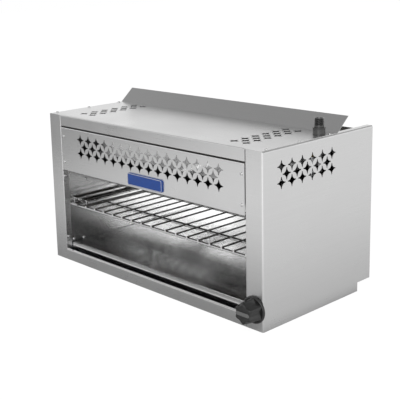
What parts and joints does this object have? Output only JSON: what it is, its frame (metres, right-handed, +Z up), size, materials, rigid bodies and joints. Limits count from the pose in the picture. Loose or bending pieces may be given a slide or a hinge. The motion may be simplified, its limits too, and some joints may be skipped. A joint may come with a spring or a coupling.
{
  "type": "cheese melter",
  "caption": "Countertop gas cheese melter: open-front folded sheet cabinet with an overhead burner, a sliding wire rack, a sliding crumb tray and a turning gas knob.",
  "frame": {"origin": "centre of the cabinet's base footprint, on the plane that it rests on", "axes": "+X to the right as seen from the front, +Y from the open front to the rear, +Z up"},
  "size_m": [0.9223, 0.518, 0.5281],
  "materials": {
    "outer_steel": "brushed stainless sheet, satin",
    "flue_steel": "brushed stainless sheet, slightly dulled by flue heat",
    "inner_steel": "bright bare sheet, smoother than the outside",
    "tray_steel": "bright bare sheet",
    "plated_steel": "zinc plated sheet, dull",
    "fastener_steel": "bright plated screw heads",
    "rack_chrome": "bright plated wire",
    "burner_steel": "heat-stained steel",
    "burner_ceramic": null,
    "brass": "machined brass",
    "pipe_steel": "zinc plated steel, dark satin",
    "gas_pipe": "black malleable iron pipe",
    "tube_aluminium": "drawn tube",
    "knob_plastic": "black phenolic, soft gloss",
    "pointer_plastic": "grey inlay",
    "badge_blue": "blank blue plate, satin"
  },
  "bodies": {
    "cabinet": {"side_panel_right": "outer_steel", "side_panel_left": "outer_steel", "top_panel": "outer_steel", "burner_front_panel": "outer_steel", "bottom_rail": "outer_steel", "flue_deflector": "flue_steel", "rear_panel": "inner_steel", "rear_angle_right": "plated_steel", "rear_angle_left": "plated_steel", "base_pan": "plated_steel", "badge_plate": "badge_blue", "panel_bracket_right": "inner_steel", "panel_bracket_left": "inner_steel", "liner_right": "inner_steel", "liner_left": "inner_steel", "side_spacers": "plated_steel", "heat_shield": "plated_steel", "flue_baffle": "plated_steel", "rack_rail_right": "inner_steel", "rack_rail_left": "inner_steel", "tray_guide_right": "plated_steel", "tray_guide_left": "plated_steel", "burner_plenum": "burner_steel", "tile_frame": "burner_steel", "burner_tiles": "burner_ceramic", "burner_screen": "burner_steel", "burner_hanger_right": "plated_steel", "burner_hanger_left": "plated_steel", "venturi": "burner_steel", "air_shutter": "plated_steel", "orifice_spud": "brass", "orifice_elbow": "brass", "gas_valve": "brass", "inlet_collar": "pipe_steel", "inlet_nipple": "pipe_steel", "inlet_pipe": "gas_pipe", "manifold_elbow": "gas_pipe", "manifold_pipe": "gas_pipe", "supply_tube": "tube_aluminium", "pipe_clamp": "plated_steel", "pilot_valve": "brass", "pilot_tube": "tube_aluminium", "pilot_burner": "burner_steel", "top_screws": "fastener_steel", "panel_screws": "fastener_steel", "jamb_screws": "fastener_steel", "rail_screws": "fastener_steel", "liner_screws": "fastener_steel", "rear_screws": "fastener_steel", "deflector_rivets": "fastener_steel"},
    "knob": {"valve_stem": "brass", "knob_skirt": "knob_plastic", "knob_grip": "knob_plastic", "knob_pointer": "pointer_plastic"},
    "rack": {"wire_rack": "rack_chrome", "rack_runner_right": "rack_chrome", "rack_runner_left": "rack_chrome"},
    "tray": {"crumb_tray": "tray_steel"}
  },
  "joints": [
    {"name": "knob_turn", "type": "hinge", "parent": "cabinet", "child": "knob", "pos_m": [0.4276, -0.235, 0.0575], "axis": [0, -1, 0], "range_deg": [0, 90]},
    {"name": "rack_slide", "type": "slide", "parent": "cabinet", "child": "rack", "axis": [0, -1, 0], "range_m": [0, 0.26]},
    {"name": "tray_slide", "type": "slide", "parent": "cabinet", "child": "tray", "axis": [0, -1, 0], "range_m": [0, 0.3]}
  ]
}
